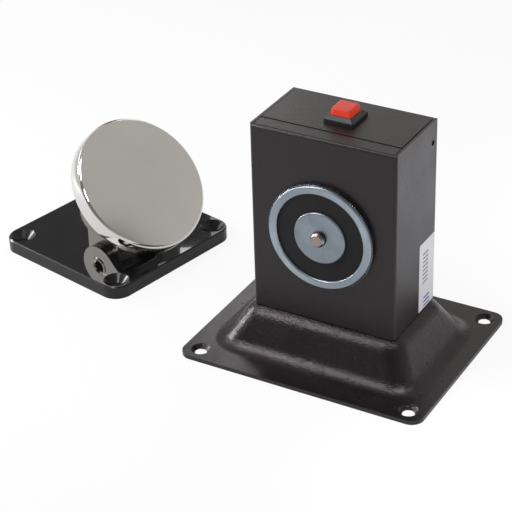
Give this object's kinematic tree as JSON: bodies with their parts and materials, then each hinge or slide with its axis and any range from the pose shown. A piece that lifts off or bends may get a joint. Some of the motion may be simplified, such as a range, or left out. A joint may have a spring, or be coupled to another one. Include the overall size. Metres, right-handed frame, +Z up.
{
  "type": "electromagnetic door holder",
  "caption": "Holding magnet in a folded sheet housing on a drawn floor pedestal, with a release button on top, and its hinged armature disc on a square plate.",
  "frame": {"origin": "on the floor, in the middle of the pedestal's four floor screws", "axes": "+Z up, the magnet's face towards -Y, +X to its right"},
  "size_m": [0.2478, 0.1213, 0.1168],
  "materials": {
    "grey_powder_coat": "textured powder coat, dark grey",
    "zinc_steel": "zinc plated, turned",
    "bright_zinc": "zinc plated fasteners",
    "bright_nickel": "nickel plated, ground face and polished rim",
    "gloss_black": "gloss black, mirror smooth",
    "black_resin": "cast potting resin",
    "black_plastic": "moulded",
    "red_plastic": "moulded, satin",
    "copper": "enamelled copper wire",
    "rubber": "moulded",
    "black_steel": "blackened",
    "label_paper": "printed sticker"
  },
  "bodies": {
    "root": {"base_pedestal": "grey_powder_coat", "front_shell": "grey_powder_coat", "rear_cover": "grey_powder_coat", "cover_screws": "black_steel", "pedestal_screws": "bright_zinc", "cable_grommet": "rubber", "magnet_bracket": "bright_zinc", "magnet_screws": "bright_zinc", "magnet_pot": "zinc_steel", "magnet_core": "zinc_steel", "coil_bobbin": "black_plastic", "coil_winding": "copper", "potting_resin": "black_resin", "ejector_spring": "bright_zinc", "ejector_plug": "bright_zinc", "switch_housing": "black_plastic", "button_spring": "bright_zinc", "switch_terminals": "copper", "switch_clip": "black_plastic", "terminal_block": "black_plastic", "terminal_screws": "bright_zinc", "block_screw": "bright_zinc", "keeper_base": "gloss_black"},
    "button": {"button_cap": "red_plastic"},
    "ejector": {"ejector_pin": "bright_nickel"},
    "swivel": {"pivot_block": "bright_nickel", "swivel_screw": "bright_zinc", "swivel_washer": "bright_zinc"},
    "armature": {"pivot_yoke": "bright_nickel", "pivot_pin": "bright_nickel", "yoke_screws": "bright_zinc", "armature_disc": "bright_nickel"}
  },
  "joints": [
    {"name": "button_press", "type": "slide", "parent": "root", "child": "button", "axis": [0, 0, -1], "range_m": [0, 0.0025], "stiffness_N_per_m": 400, "springref_m": -0.003, "deforming": ["button_spring"]},
    {"name": "ejector_push", "type": "slide", "parent": "root", "child": "ejector", "axis": [0, 1, 0], "range_m": [0, 0.0023], "stiffness_N_per_m": 1500, "springref_m": -0.004, "deforming": ["ejector_spring"]},
    {"name": "armature_swivel", "type": "hinge", "parent": "root", "child": "swivel", "pos_m": [-0.1405, 0.026, 0.0066], "axis": [0, 0, 1], "range_deg": [-90, 90]},
    {"name": "armature_tilt", "type": "hinge", "parent": "swivel", "child": "armature", "pos_m": [-0.1405, 0.026, 0.0211], "axis": [0.2164, 0.9763, 0], "range_deg": [-94, 2]}
  ]
}
